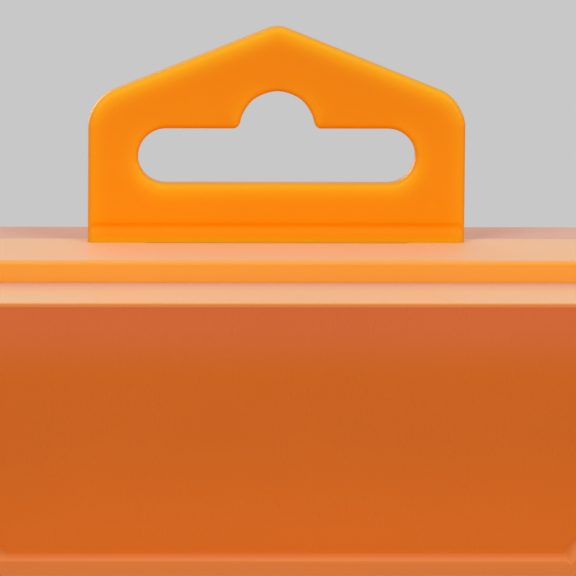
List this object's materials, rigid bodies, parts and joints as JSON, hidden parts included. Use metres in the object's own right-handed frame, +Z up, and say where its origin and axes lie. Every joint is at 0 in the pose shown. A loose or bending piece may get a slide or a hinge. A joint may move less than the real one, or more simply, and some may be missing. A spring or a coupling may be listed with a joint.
{
  "type": "parts storage case",
  "caption": "Upright parts storage case with a side-hinged lid, snap latches, removable dividers and a hang tab with a euro slot.",
  "frame": {"origin": "under the middle of the case, on the surface that it stands on", "axes": "+X across the case to the right, seen from the lid; +Y from the lid's face to the tray's back; +Z up, through the hang tab"},
  "size_m": [0.122, 0.0434, 0.201],
  "materials": {
    "tray_plastic": "moulded translucent orange polypropylene, satin gloss",
    "lid_plastic": "moulded translucent deep orange polypropylene, satin gloss",
    "tab_plastic": "thin moulded bright orange polypropylene, satin gloss",
    "latch_plastic": "moulded orange polypropylene, satin",
    "insert_plastic": "thin moulded translucent orange polypropylene sheet",
    "pin_steel": "drawn steel wire, bright"
  },
  "bodies": {
    "tray": {"rear_tray": "tray_plastic", "hang_tab": "tab_plastic", "hinge_pin_upper": "pin_steel", "hinge_pin_lower": "pin_steel", "column_wall_left": "insert_plastic", "column_wall_right": "insert_plastic", "divider_01": "insert_plastic", "divider_02": "insert_plastic", "divider_03": "insert_plastic", "divider_04": "insert_plastic", "divider_05": "insert_plastic", "divider_06": "insert_plastic", "divider_07": "insert_plastic", "divider_08": "insert_plastic", "divider_09": "insert_plastic", "divider_10": "insert_plastic", "divider_11": "insert_plastic", "divider_12": "insert_plastic"},
    "lid": {"front_lid": "lid_plastic", "latch_pin_upper": "pin_steel", "latch_pin_lower": "pin_steel"},
    "upper_latch": {"latch_upper": "latch_plastic"},
    "lower_latch": {"latch_lower": "latch_plastic"}
  },
  "joints": [
    {"name": "lid_hinge", "type": "hinge", "parent": "tray", "child": "lid", "pos_m": [-0.0588, -0.0068, 0.088], "axis": [0, 0, -1], "range_deg": [0, 180]},
    {"name": "upper_latch_hinge", "type": "hinge", "parent": "lid", "child": "upper_latch", "pos_m": [0.0591, -0.0128, 0.138], "axis": [0, 0, -1], "range_deg": [0, 110]},
    {"name": "lower_latch_hinge", "type": "hinge", "parent": "lid", "child": "lower_latch", "pos_m": [0.0591, -0.0128, 0.038], "axis": [0, 0, -1], "range_deg": [0, 110]}
  ]
}
